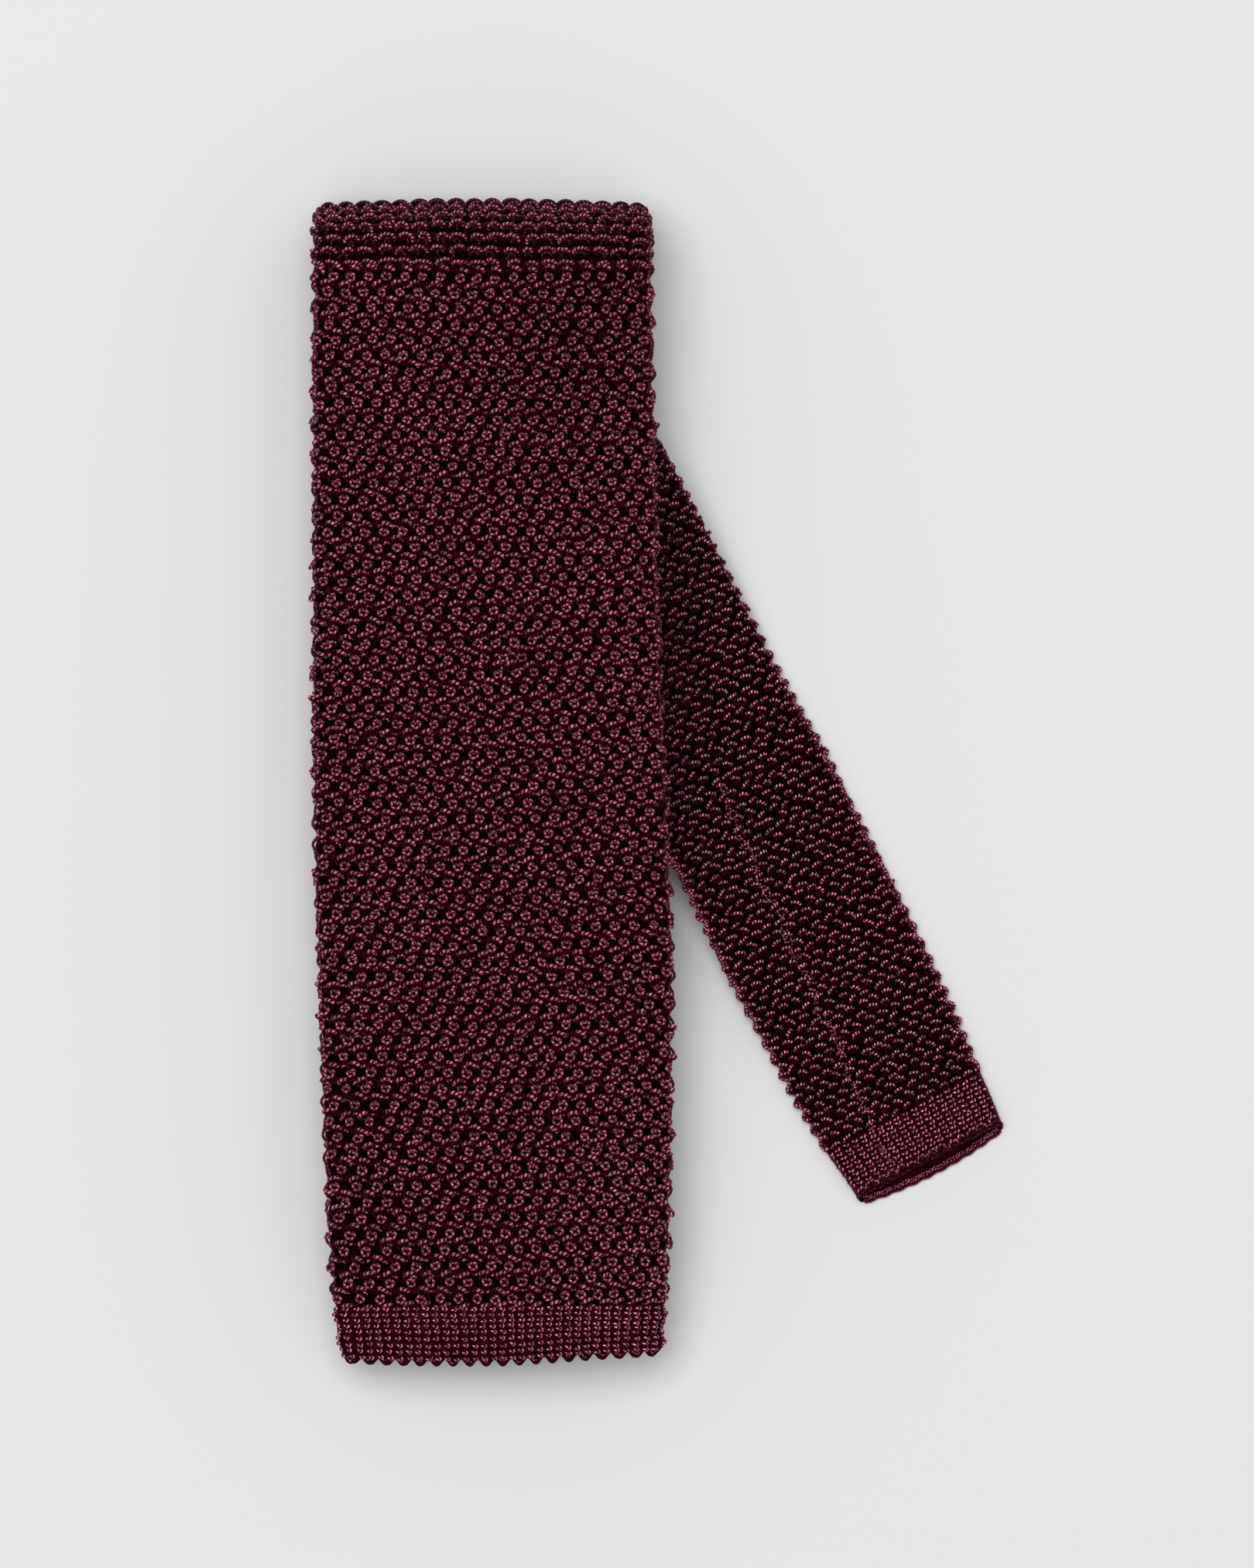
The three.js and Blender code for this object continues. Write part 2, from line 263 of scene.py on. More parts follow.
# The long edges' waves: height, length, and by how much and over what length the phase strays
RIGHT_EDGE = (0.34, 4.6, 1.7, 23.0)
LEFT_EDGE = (0.3, 4.7, 2.3, 17.0)
TAIL_EDGE = (0.34, 2.9, 1.2, 5.3)
# Slower bulges: lengths along the tie and the bulge there
LEFT_BULGES = ((0, 22, 32, 90, 110, 180), (0.5, 0.6, 0.15, 0.5, 0.3, 0.2))
TAIL_BULGES = ((1360, 1378, 1420, 1432), (-0.3, 0.5, 0.5, 0))
TAIL_OTHER_BULGE = 0.1
# The waist of the top fold: depth, place past the fold's start, and reach
WAIST_DEPTH = 0.9
WAIST_PLACE = 14
WAIST_REACH = 5
EDGE_WAVE_START = 0.84
EDGE_WAVE_FADE = 3


def edge_wave(s, height, length, stray, stray_length):
    """A wave along a long edge, with a phase that strays."""
    return height * np.sin(2 * math.pi * s / length + stray * np.sin(s / stray_length))


def ripple(s, across):
    """The long edges' waviness: slow scallops on the blade's right, shorter bulges elsewhere."""
    waist = WAIST_DEPTH * np.exp(-(((s - BLADE_RUN - WAIST_PLACE) / WAIST_REACH) ** 2))
    right = edge_wave(s, *RIGHT_EDGE) - waist
    left = edge_wave(s, *LEFT_EDGE) - waist + np.interp(s, *LEFT_BULGES)
    bulges = np.where(across > 0, np.interp(s, *TAIL_BULGES), TAIL_OTHER_BULGE)
    teeth = edge_wave(s, *TAIL_EDGE) + bulges
    own = np.where(s > SLANT_START, teeth, np.where(across > 0, right, left))
    near_rim = np.clip((TIE_LENGTH - TAIL_HEM_LENGTH - s) / EDGE_WAVE_FADE, 0, 1)
    weight = smooth((np.abs(across) / half_at(s) - EDGE_WAVE_START) / (1 - EDGE_WAVE_START))
    return np.sign(across) * weight * near_rim * own


STEP = 0.02


def place(s, across, out):
    """A point at out from the tube's middle surface, along its normal."""
    along = middle(s + STEP, across) - middle(s - STEP, across)
    side = middle(s, across + STEP) - middle(s, across - STEP)
    normal = np.cross(side, along)
    normal /= np.linalg.norm(normal, axis=-1, keepdims=True)
    return middle(s, across + ripple(s, across)) + normal * out[..., None]


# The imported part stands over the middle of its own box, so its corners give the shift.
TUBE_LOW, TUBE_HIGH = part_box("knit_tube")
blade_lengths = np.linspace(0.0, BLADE_RUN, 400)
blade_left = float((outline(blade_lengths, 2) - half_at(blade_lengths)).min())
SHIFT = np.array([TUBE_LOW[0] / MM - blade_left, TUBE_HIGH[1] / MM - FOLDED_LENGTH, 0.0])


def mouth_lift(s, face, share):
    """How far a face lifts at its open mouth: the blade's outer face and the tail's upper one."""
    if face > 0:
        near, height, bend = s, BLADE_MOUTH, 0.0
    else:
        near, height, bend = TIE_LENGTH - s, TAIL_MOUTH, TAIL_CURL
    lift = height * (1 - smooth(near / MOUTH_FADE)) - curl(np.maximum(near, 0.0), bend)
    return lift * (1 - np.clip(share, -1, 1) ** 2)


def skin(s, w, h, face):
    """A point at h over the tube's surface on one face, carried on round the long edges.

    w is the distance from the face's middle over the surface, so past the flat part it goes round
    the edge and then back along the other face.
    """
    s, w, h = np.broadcast_arrays(s, w, h)
    flat = half_at(s) - TUBE / 2
    past = np.clip(np.abs(w) - flat, 0.0, EDGE_ARC)
    beyond = np.maximum(np.abs(w) - flat - EDGE_ARC, 0.0)
    angle = past / (TUBE / 2)
    radius = TUBE / 2 + h
    across = np.sign(w) * (np.minimum(np.abs(w), flat) + radius * np.sin(angle) - beyond)
    lift = mouth_lift(s, face, w / flat) * (past <= 0)
    return place(s, across, face * (radius * np.cos(angle) + lift)) + SHIFT


def skin_frame(s, w, h, face):
    """A point over the surface, as skin() gives it, and the direction out of the surface."""
    point = skin(s, w, h, face)
    normal = skin(s, w, h + 0.05, face) - point
    return point, normal / np.linalg.norm(normal, axis=-1, keepdims=True)


# Yarn

FLOOR_CLEARANCE = 0.02

# Length of yarn in which a ply goes round once
LAY = 0.62
PAIRED_START = 1.25


def tube_strands(points, normals, radius, sides, closed=False, paired=None, wide=1):
    """Tubes round many curves of the same number of points, as vertices, quads and corner UVs.

    If paired is given, two turns of that length, which the silk material paints as highlights, lie in the
    middle of each tube. A tube can be some times as wide as it is high.
    """
    count, steps = points.shape[:2]
    if closed:
        tangent = np.roll(points, -1, axis=1) - np.roll(points, 1, axis=1)
    else:
        tangent = np.gradient(points, axis=1)
    tangent /= np.linalg.norm(tangent, axis=-1, keepdims=True)
    side = np.cross(normals, tangent)
    side /= np.maximum(np.linalg.norm(side, axis=-1, keepdims=True), 1e-9)
    up = np.cross(tangent, side)
    turn = 2 * math.pi * (np.arange(sides) + 0.5) / sides
    radius = np.broadcast_to(radius, (count, steps))[..., None, None]
    sideways = wide * np.cos(turn)[:, None] * side[:, :, None, :]
    ring = sideways + np.sin(turn)[:, None] * up[:, :, None, :]
    vertices = points[:, :, None, :] + radius * ring
    lengths = np.linalg.norm(np.diff(points, axis=1), axis=-1)
    along = np.concatenate([np.zeros((count, 1)), np.cumsum(lengths, axis=1)], axis=1)
    if closed:
        gap = np.linalg.norm(points[:, 0] - points[:, -1], axis=-1)[:, None]
        along = np.concatenate([along, along[:, -1:] + gap], axis=1)
        along *= np.maximum(1, np.round(along[:, -1:] / LAY)) * LAY / along[:, -1:]
    if paired is None:
        along = along + RNG.uniform(0, LAY, (count, 1))
    else:
        along = along + PAIRED_START * paired - along[:, -1:] / 2
    rows = steps if closed else steps - 1
    c, i, k = np.meshgrid(np.arange(count), np.arange(rows), np.arange(sides), indexing="ij")
    nxt_i, nxt_k = (i + 1) % steps, (k + 1) % sides

    def vid(curve, step, corner):
        return (curve * steps + step) * sides + corner

    quads = np.stack([vid(c, i, k), vid(c, nxt_i, k), vid(c, nxt_i, nxt_k), vid(c, i, nxt_k)], axis=-1)
    u0 = along[c, i]
    u1 = along[c, i + 1]
    v0 = (k + 0.5) / sides
    v1 = (k + 1.5) / sides
    uvs = np.stack(
        [np.stack([u0, v0], -1), np.stack([u1, v0], -1), np.stack([u1, v1], -1), np.stack([u0, v1], -1)],
        axis=-2,
    )
    return vertices.reshape(-1, 3), quads.reshape(-1, 4), uvs.reshape(-1, 2)


def build_mesh(name, parts, material):
    """One object from several (vertices in millimetres, quads, corner UVs) parts."""
    vertices = np.concatenate([p[0] for p in parts]) * MM
    vertices[:, 2] = np.maximum(vertices[:, 2], FLOOR_CLEARANCE * MM)
    starts = np.cumsum([0] + [len(p[0]) for p in parts[:-1]])
    quads = np.concatenate([p[1] + start for p, start in zip(parts, starts)])
    uvs = np.concatenate([p[2] for p in parts])
    mesh = bpy.data.meshes.new(name)
    mesh.vertices.add(len(vertices))
    mesh.vertices.foreach_set("co", vertices.ravel())
    mesh.loops.add(quads.size)
    mesh.loops.foreach_set("vertex_index", quads.ravel().astype(np.int32))
    mesh.polygons.add(len(quads))
    mesh.polygons.foreach_set("loop_start", np.arange(0, quads.size, 4, dtype=np.int32))
    mesh.polygons.foreach_set("use_smooth", np.ones(len(quads), dtype=bool))
    layer = mesh.uv_layers.new(name="UVMap")
    layer.data.foreach_set("uv", uvs.ravel())
    mesh.update(calc_edges=True)
    mesh.validate()
    mesh.materials.append(material)
    piece = bpy.data.objects.new(name, mesh)
    bpy.context.collection.objects.link(piece)
    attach(piece, "root")
    return piece


def stitch(
    cells,
    template,
    face,
    level,
    radius,
    sides,
    closed=False,
    size=0.05,
    spin=0.12,
    wobble=0.05,
    seen=1,
    paired=None,
    wide=1,
):
    """One curve of yarn at each cell. A cell is (s, w, heading of its row, stretch across).

    The yarn's top, which its material paints lighter as painted light, faces out of the surface, or into the
    tube if seen is -1.
    """
    s0, w0, tilt, stretch = (column[:, None] for column in cells.T)
    count = len(cells)
    angle = tilt + RNG.normal(0, spin, (count, 1))
    v = template[:, 1] * (1 + RNG.normal(0, size, (count, 1)))
    u = template[:, 0] * (1 + RNG.normal(0, size, (count, 1))) * stretch
    u = u + v * RNG.normal(0, size, (count, 1))
    h = template[:, 2] + RNG.normal(0, wobble, (count, 1)) + level
    w = w0 + u * np.cos(angle) - v * np.sin(angle)
    s = s0 + u * np.sin(angle) + v * np.cos(angle)
    points, normals = skin_frame(s, w, h, face)
    return tube_strands(points, seen * normals, radius, sides, closed, paired, wide)


def mirrored(points):
    """A symmetric template from its left half, whose last point is on the middle line."""
    left = np.array(points)
    return np.concatenate([left, (left * (-1, 1, 1))[-2::-1]])


# Materials

MIX_FIRST, MIX_SECOND, MIX_RESULT = 6, 7, 2


def material(name):
    """A new material, with its nodes, links and shader."""
    made = bpy.data.materials.new(name)
    made.use_nodes = True
    nodes = made.node_tree.nodes
    return made, nodes, made.node_tree.links, nodes["Principled BSDF"]


def math_node(nodes, links, operation, *values):
    """The result of a sum over sockets and numbers."""
    node = nodes.new("ShaderNodeMath")
    node.operation = operation
    for socket, value in zip(node.inputs, values):
        if isinstance(value, (int, float)):
            socket.default_value = value
        else:
            links.new(value, socket)
    return node.outputs[0]


def wave_node(nodes, links, phase, centre=0.5, swing=0.5):
    """A sine wave round a centre value."""
    wave = math_node(nodes, links, "SINE", phase)
    return math_node(nodes, links, "MULTIPLY_ADD", wave, swing, centre)


def vector_node(nodes, links, operation, value, constant=None):
    """The result of a sum over a vector and a constant one."""
    node = nodes.new("ShaderNodeVectorMath")
    node.operation = operation
    links.new(value, node.inputs[0])
    if constant is not None:
        node.inputs[1].default_value = constant
    return node.outputs["Value" if operation == "LENGTH" else "Vector"]


def noise_node(nodes, links, place_socket, scale, detail):
    """Noise in space."""
    noise = nodes.new("ShaderNodeTexNoise")
    noise.inputs["Scale"].default_value = scale
    noise.inputs["Detail"].default_value = detail
    links.new(place_socket, noise.inputs["Vector"])
    return noise.outputs["Fac"]


def ramp_node(nodes, links, value, first, last, *between):
    """Colours over a value. Each stop is a position and a colour."""
    ramp = nodes.new("ShaderNodeValToRGB")
    elements = ramp.color_ramp.elements
    elements[0].position, elements[1].position = first[0], last[0]
    elements[0].color = (*first[1], 1)
    elements[1].color = (*last[1], 1)
    for position, colour in between:
        elements.new(position).color = (*colour, 1)
    links.new(value, ramp.inputs[0])
    return ramp.outputs[0]


def product_node(nodes, links, first, second):
    """Two colours multiplied."""
    node = nodes.new("ShaderNodeMix")
    node.data_type = "RGBA"
    node.blend_type = "MULTIPLY"
    node.inputs["Factor"].default_value = 1.0
    links.new(first, node.inputs[MIX_FIRST])
    links.new(second, node.inputs[MIX_SECOND])
    return node.outputs[MIX_RESULT]


def add_bump(nodes, links, shader, height, strength, distance):
    """Relief on a shader's surface."""
    bump = nodes.new("ShaderNodeBump")
    bump.inputs["Strength"].default_value = strength
    bump.inputs["Distance"].default_value = distance
    links.new(height, bump.inputs["Height"])
    links.new(bump.outputs[0], shader.inputs["Normal"])


# Painted shade, as places that darken the silk's colour: centre, weight of each axis, reach, and how bright
# the middle is
# Painted shade over the upper right of the blade's face
PAINTED_SHADE_UPPER_RIGHT = ((-0.013, 0.08, 0.0), (1.0, 0.9, 0.0), 0.036, 0.78)
# Painted shadow of the blade on the tail, where the tail comes out from under it
PAINTED_SHADOW_TAIL_ROOT = ((-0.003, 0.028, 0.0), (1.0, 0.2, 0.0), 0.02, 0.4)


def painted_shade_of(nodes, links, place_socket, painted_shade_spot):
    """A factor of painted shade: low in the middle and rising to 1 round it."""
    centre, weights, reach, low = painted_shade_spot
    offset = vector_node(nodes, links, "SUBTRACT", place_socket, centre)
    scaled = vector_node(nodes, links, "MULTIPLY", offset, weights)
    distance = vector_node(nodes, links, "LENGTH", scaled)
    factor = nodes.new("ShaderNodeMapRange")
    factor.interpolation_type = "SMOOTHSTEP"
    factor.inputs["From Max"].default_value = reach
    factor.inputs["To Min"].default_value = low
    links.new(distance, factor.inputs["Value"])
    return factor.outputs[0]


# The tint of the silk's highlights
PINK = (1.0, 0.5, 0.62)

# How rough a yarn is in its grooves and on its crests
GROOVE_ROUGHNESS = 0.8
CREST_ROUGHNESS = 0.36

# Blotches that darken a yarn: noise from and to, and the colour of the dark ones
BLOTCH_SCALE = 1100
BLOTCH_STOPS = (0.38, 0.62)
BLOTCH_COLOUR = (0.32, 0.24, 0.27)

# Painted highlight along the plies: a slope's colour as a share of the highlight colour, and the brightness
# at which the dark grooves, the slopes and the full painted highlight come
SHARP_FLANK = (0.2, 0.07, 0.09)
SHARP_STOPS = (0.34, 0.63, 0.88)
SOFT_FLANK = (0.45, 0.27, 0.32)
SOFT_STOPS = (0.28, 0.56, 0.92)


def silk(
    name,
    groove,
    painted_highlight,
    gloss,
    lay=LAY,
    plies=2,
    flank=SHARP_FLANK,
    stops=SHARP_STOPS,
    painted_shade_spot=PAINTED_SHADE_UPPER_RIGHT,
):
    """Plied silk yarn: its plies wind round it, with painted highlights on their crests and painted shade
    between them. Its top is painted lighter and its sides darker, and painted shade darkens it round a
    centre.
    """
    made, nodes, links, shader = material(name)
    coordinates = nodes.new("ShaderNodeTexCoord")
    space = coordinates.outputs["Object"]
    split = nodes.new("ShaderNodeSeparateXYZ")
    links.new(coordinates.outputs["UV"], split.inputs[0])
    turns = math_node(nodes, links, "MULTIPLY", split.outputs[0], 2 * math.pi / lay)
    around = math_node(nodes, links, "MULTIPLY", split.outputs[1], 2 * math.pi * plies)
    ply = wave_node(nodes, links, math_node(nodes, links, "ADD", turns, around))
    # Painted light: the yarn's top is lighter and its sides darker
    upper = wave_node(nodes, links, math_node(nodes, links, "MULTIPLY", split.outputs[1], 2 * math.pi))
    lit = math_node(nodes, links, "MULTIPLY", ply, upper)
    slope = [share * part for share, part in zip(flank, painted_highlight)]
    # The yarn's dark colour with painted shade in the grooves, and the painted highlight on the ply crests
    colour = ramp_node(nodes, links, lit, (stops[0], groove), (stops[2], painted_highlight), (stops[1], slope))
    noise = noise_node(nodes, links, space, BLOTCH_SCALE, 2)
    dark, bright = BLOTCH_STOPS
    blotches = ramp_node(nodes, links, noise, (dark, BLOTCH_COLOUR), (bright, (1, 1, 1)))
    toned = product_node(nodes, links, colour, blotches)
    # Painted shade darkens the colour round its centre
    shaded = product_node(nodes, links, toned, painted_shade_of(nodes, links, space, painted_shade_spot))
    links.new(shaded, shader.inputs["Base Color"])
    rough = nodes.new("ShaderNodeMapRange")
    rough.inputs["To Min"].default_value = GROOVE_ROUGHNESS
    rough.inputs["To Max"].default_value = CREST_ROUGHNESS
    links.new(ply, rough.inputs["Value"])
    links.new(rough.outputs[0], shader.inputs["Roughness"])
    shader.inputs["Specular IOR Level"].default_value = gloss
    shader.inputs["Specular Tint"].default_value = (*PINK, 1)
    shader.inputs["Sheen Weight"].default_value = 0.08
    shader.inputs["Sheen Roughness"].default_value = 0.4
    shader.inputs["Sheen Tint"].default_value = (*PINK, 1)
    add_bump(nodes, links, shader, ply, 0.9, 0.0001)
    return made


# The strokes round a long edge of the painted-shade sheet: how close they follow along the tie, and how
# bright they are
STROKE_RATE = 9.0
STROKE_CENTRE = 0.65
STROKE_SWING = 0.35
STROKE_FALL = 2.0
BACKING_SCALE = 700
BACKING_STOPS = (0.4, 0.75)


def painted_shade_backing(name, low, high, edge):
    """Painted shade between the stitches: a dark sheet, which is brighter round the long edges, where it
    shows.
    """
    made, nodes, links, shader = material(name)
    coordinates = nodes.new("ShaderNodeTexCoord")
    split = nodes.new("ShaderNodeSeparateXYZ")
    links.new(coordinates.outputs["UV"], split.inputs[0])
    phase = math_node(nodes, links, "MULTIPLY", split.outputs[0], STROKE_RATE)
    strokes = wave_node(nodes, links, phase, STROKE_CENTRE, STROKE_SWING)
    at_edge = math_node(nodes, links, "POWER", split.outputs[1], STROKE_FALL)
    showing = math_node(nodes, links, "MULTIPLY", strokes, at_edge)
    noise = noise_node(nodes, links, coordinates.outputs["Object"], BACKING_SCALE, 4)
    colour = ramp_node(nodes, links, noise, (BACKING_STOPS[0], low), (BACKING_STOPS[1], high))
    tone = nodes.new("ShaderNodeMix")
    tone.data_type = "RGBA"
    tone.inputs[MIX_SECOND].default_value = (*edge, 1)
    links.new(showing, tone.inputs["Factor"])
    links.new(colour, tone.inputs[MIX_FIRST])
    links.new(tone.outputs[MIX_RESULT], shader.inputs["Base Color"])
    shader.inputs["Roughness"].default_value = 0.85
    shader.inputs["Specular IOR Level"].default_value = 0.02
    add_bump(nodes, links, shader, noise, 0.645, 0.0002)
    return made


HEM_LAY = 0.7
GROOVE = (0.03, 0.0008, 0.0045)
SOFT = {"plies": 1, "flank": SOFT_FLANK, "stops": SOFT_STOPS}
RING_YARN = silk("silk_ring_yarn", (0.1, 0.012, 0.026), (0.56, 0.195, 0.28), 0.22, 0.85, **SOFT)
YARN = silk("silk_yarn", (0.05, 0.003, 0.01), (0.64, 0.215, 0.305), 0.22, 0.62, **SOFT)
# The tail's yarn carries the painted shadow at its root
TAIL_YARN = silk("silk_tail_yarn", GROOVE, (1.0, 0.36, 0.52), 0.3, 0.5, 1, painted_shade_spot=PAINTED_SHADOW_TAIL_ROOT)
# Darker copies of the silk: painted shade for yarn that lies low between the stitches or turns away from the
# light
SHADED_YARN = silk("shaded_silk_yarn", (0.014, 0.0001, 0.0016), (0.1, 0.006, 0.02), 0.05)
PAINTED_DEEP_SHADE_YARN = silk("painted_deep_shade_silk_yarn", (0.012, 0.0001, 0.0014), (0.05, 0.001, 0.007), 0.03)
PAINTED_HALF_SHADE_YARN = silk("painted_half_shade_silk_yarn", (0.012, 0.0003, 0.002), (0.16, 0.03, 0.055), 0.1)
HEM_YARN = silk("silk_hem_yarn", GROOVE, (0.9, 0.285, 0.42), 0.28, HEM_LAY)
# Near-black painted shade seen through the knit's holes, maroon round the long edges
PAINTED_SHADE_SHEET = painted_shade_backing("knit_painted_shade_backing", (0.0006, 0.0, 0.0001), (0.008, 0.0002, 0.001), (0.42, 0.06, 0.12))
# The hems' cloth: dark maroon, darkened further as painted shade
HEM_CLOTH_IN_PAINTED_SHADE = painted_shade_backing("hem_painted_shade_backing", (0.008, 0.0001, 0.0012), (0.036, 0.002, 0.008), (0.16, 0.02, 0.045))

# Base tubes

RING_SPACING = 0.9
FOLD_RING_SPACING = 0.5


def ring_columns(face_spans, edge_spans):
    """Where a ring's points are: face, share of the flat width, and angle round the edge."""
    rows = []
    for face in (1, -1):
        for i in range(face_spans + 1):
            rows.append((face, face * (2 * i / face_spans - 1), 0.0))
        for k in range(1, edge_spans):
            rows.append((face, face, math.pi * k / edge_spans))
    return np.array(rows)


def base_tube(name, stations, slants, inset, wall, face_spans, edge_spans, mat, rims=None, relief=0.0):
    """A closed wall of cloth between two ends, a little inside the stitches."""
    columns = ring_columns(face_spans, edge_spans)
    face, share, angle = (columns[:, k][None, :] for k in range(3))
    s = stations[:, None] + 0 * share
    half = half_at(s)
    flat = half - TUBE / 2
    layers = []
    for deep in (inset, inset + wall):
        radius = TUBE / 2 - deep
        wave = relief * np.cos(2 * math.pi * s / ROW_PITCH) * np.sin(angle) if deep == inset else 0.0
        across = share * flat + face * np.sin(angle) * (radius + wave)
        out = face * np.cos(angle) * radius
        lift = np.where(face > 0, mouth_lift(s, 1, share), mouth_lift(s, -1, share))
        out = out + face * lift * (angle == 0)
        own = 0.0 * s
        if rims is not None:
            own = rims(s, share, face * np.cos(angle))
        layers.append(place(s + own + across * np.tan(slants)[:, None], across, out) + SHIFT)
    rows, count = s.shape
    vertices = np.concatenate([layer.reshape(-1, 3) for layer in layers])
    skin_size = rows * count
    i, k = np.meshgrid(np.arange(rows - 1), np.arange(count), indexing="ij")
    j = (k + 1) % count
    low, high = i * count, (i + 1) * count
    outer = np.stack([low + k, low + j, high + j, high + k], -1).reshape(-1, 4)
    inner = np.stack([low + j, low + k, high + k, high + j], -1).reshape(-1, 4) + skin_size
    k = np.arange(count)
    j = (k + 1) % count
    last = (rows - 1) * count
    start_rim = np.stack([k, skin_size + k, skin_size + j, j], -1)
    end_rim = np.stack([last + j, skin_size + last + j, skin_size + last + k, last + k], -1)
    quads = np.concatenate([outer, inner, start_rim, end_rim])
    lengths = np.concatenate([s.ravel(), s.ravel()])
    edges = np.concatenate([(np.sin(angle) + 0 * s).ravel(), 0 * s.ravel()])
    uvs = np.stack([lengths[quads.ravel()], edges[quads.ravel()]], axis=-1)
    return build_mesh(name, [(vertices, quads, uvs)], mat)


def stretch_of(start, end, pitch):
    """Even steps of about a pitch from a start, without the end."""
    return np.linspace(start, end, max(2, int(round((end - start) / pitch))), endpoint=False)


def tube_stations():
    """Lengths of the knit tube's rings, and the slant at which they cross the slanted fold."""
    start = BLADE_HEM_LENGTH + HEM_JOINT
    end = TIE_LENGTH - TAIL_HEM_LENGTH - HEM_JOINT
    fold_end = SLANT_FOLD_AT + FOLD_ARC / math.cos(SLANT)
    front = stretch_of(start, BACK_START, RING_SPACING)
    hidden = stretch_of(BACK_START, SLANT_START, RING_SPACING)
    run = stretch_of(SLANT_START, SLANT_FOLD_AT, RING_SPACING)
    fold = stretch_of(SLANT_FOLD_AT, fold_end, FOLD_RING_SPACING)
    tail = np.append(stretch_of(fold_end, end, RING_SPACING), end)
    slants = [
        np.zeros(len(front) + len(hidden)),
        SLANT * (run - SLANT_START) / (SLANT_FOLD_AT - SLANT_START),
        np.full(len(fold), SLANT),
        SLANT * (end - tail) / (end - fold_end),
    ]
    return np.concatenate([front, hidden, run, fold, tail]), np.concatenate(slants)


def scallop(share, count):
    """Even lobes across a rim, from 0 between them to 1 at their middles."""
    return (1 - np.cos(math.pi * (share + 1) * count)) / 2


# The blade's rim lies lower at its left: slope, height in the middle, and the drop of the left part
TILT_SLOPE = 0.35
TILT_MIDDLE = -0.45
TILT_DROP = 0.6
TILT_DROP_START = 0.6


def rim_tilt(s, share):
    """How far the blade's rim and the hem near it are shifted along the tie."""
    drop = TILT_DROP * np.clip(1 - share / TILT_DROP_START, 0, 1)
    return (TILT_SLOPE * share + TILT_MIDDLE - drop) * np.clip(1 - s / BLADE_HEM_LENGTH, 0, 1.2)


def lip_reach(share):
    """How far the tail's lower wall stands out past its upper one."""
    return LIP_CORNER + (LIP_MIDDLE - LIP_CORNER) * (1 - share**2)


def blade_rim(s, share, _face):
    """The blade's rim: scallops at its end."""
    return np.where(s <= 0.001, -BLADE_PICOT * scallop(share, BLADE_PICOTS), 0.0) + rim_tilt(s, share)


def tail_rim(s, share, face):
    """The tail's lower wall, which is the one with face 1, stands out as a lip."""
    own = lip_reach(share) * (1 + face) / 2 + RIM_RIPPLE * scallop(share, TAIL_PICOTS)
    return np.where(s >= TIE_LENGTH - 0.001, own, 0.0)


def hem_tube(name, stations, face_spans, rims):
    """The cloth of one hem."""
    slants = 0 * stations
    return base_tube(name, stations, slants, 0.25, 0.5, face_spans, 4, HEM_CLOTH_IN_PAINTED_SHADE, rims=rims)


ROW_PITCH = 2.79
# The tube's cloth carries the near-black painted shade
tube = base_tube(
    "knit_tube_cloth",
    *tube_stations(),
    inset=0.6,
    wall=0.4,
    face_spans=6,
    edge_spans=4,
    mat=PAINTED_SHADE_SHEET,
    relief=0.14,
)
blade_stations = np.array([0.0, 0.6, 1.2, 1.9, 2.6, 4.8, BLADE_HEM_LENGTH + HEM_JOINT])
blade_hem = hem_tube("blade_hem_cloth", blade_stations, 152, blade_rim)
tail_stations = TIE_LENGTH - np.array([TAIL_HEM_LENGTH + HEM_JOINT, 7.0, 4.8, 2.6, 1.9, 1.2, 0.6, 0.0])
tail_hem = hem_tube("tail_hem_cloth", tail_stations, 80, tail_rim)

# Stitches

COLUMN_PITCH = 3.24
ARCH_ROW_PITCH = 2.15
TAIL_COLUMN_PITCH = 2.55
TAIL_ROW_PITCH = 1.5
HEM_COLUMN_PITCH = 1.73
HEM_ROW_PITCH = 0.87

# Heights over the tube's surface: of stitches that show, of hem stitches, of hidden ones, and of ends
LEVEL = -0.2
HEM_LEVEL = -0.16
UNDER_LEVEL = -0.45
SUNK = -0.6


def blade_wave(q, s):
    """How a row of stitches strays from square: up at the right, and a slow waviness."""
    rise = 1.0 * smooth(q) * smooth((BLADE_RUN - s) / 60)
    return rise + 0.22 * np.sin(3.1 * q + s / 17) + 0.12 * np.sin(7.3 * q - s / 9)


def small_wave(q, s):
    """A slow waviness of the rows."""
    return 0.18 * np.sin(2.3 * q + s / 13) + 0.1 * np.sin(6.1 * q - s / 7)


def hem_wave(q, s):
    """Half of that, for the hems."""
    return 0.5 * small_wave(q, s)


def cells_over(
    start,
    end,
    width,
    pitch,
    row_pitch,
    round_edge=1.3,
    wave=small_wave,
    stagger=0.5,
    skew=0.0,
    drift=0.0,
):
    """Cells in rows over a face and its long edges, as (s, w, side of the row, stretch across)."""
    rows = int(round((end - start) / row_pitch))
    nominal = width / 2 - TUBE / 2 + round_edge
    count = int(round(2 * nominal / pitch))
    made = []
    for row in range(rows):
        s = start + (row + 0.5) * (end - start) / rows
        reach = float(half_at(np.array(s))) - TUBE / 2 + round_edge
        q = 2 * (np.arange(count + 1) + (stagger * (row % 2 == 0) + drift * row) % 1) / count - 1
        q = q[(q > -1.001) & (q < 1.001)]
        w = reach * (q + skew * max(0.0, 1 - s / 60) * (1 - q**2))
        side = np.full(len(q), 1.0 if row % 2 == 0 else -1.0)
        made.append(np.stack([s + wave(q, s), w, side, np.full(len(q), reach / nominal)], axis=-1))
    return np.concatenate(made)


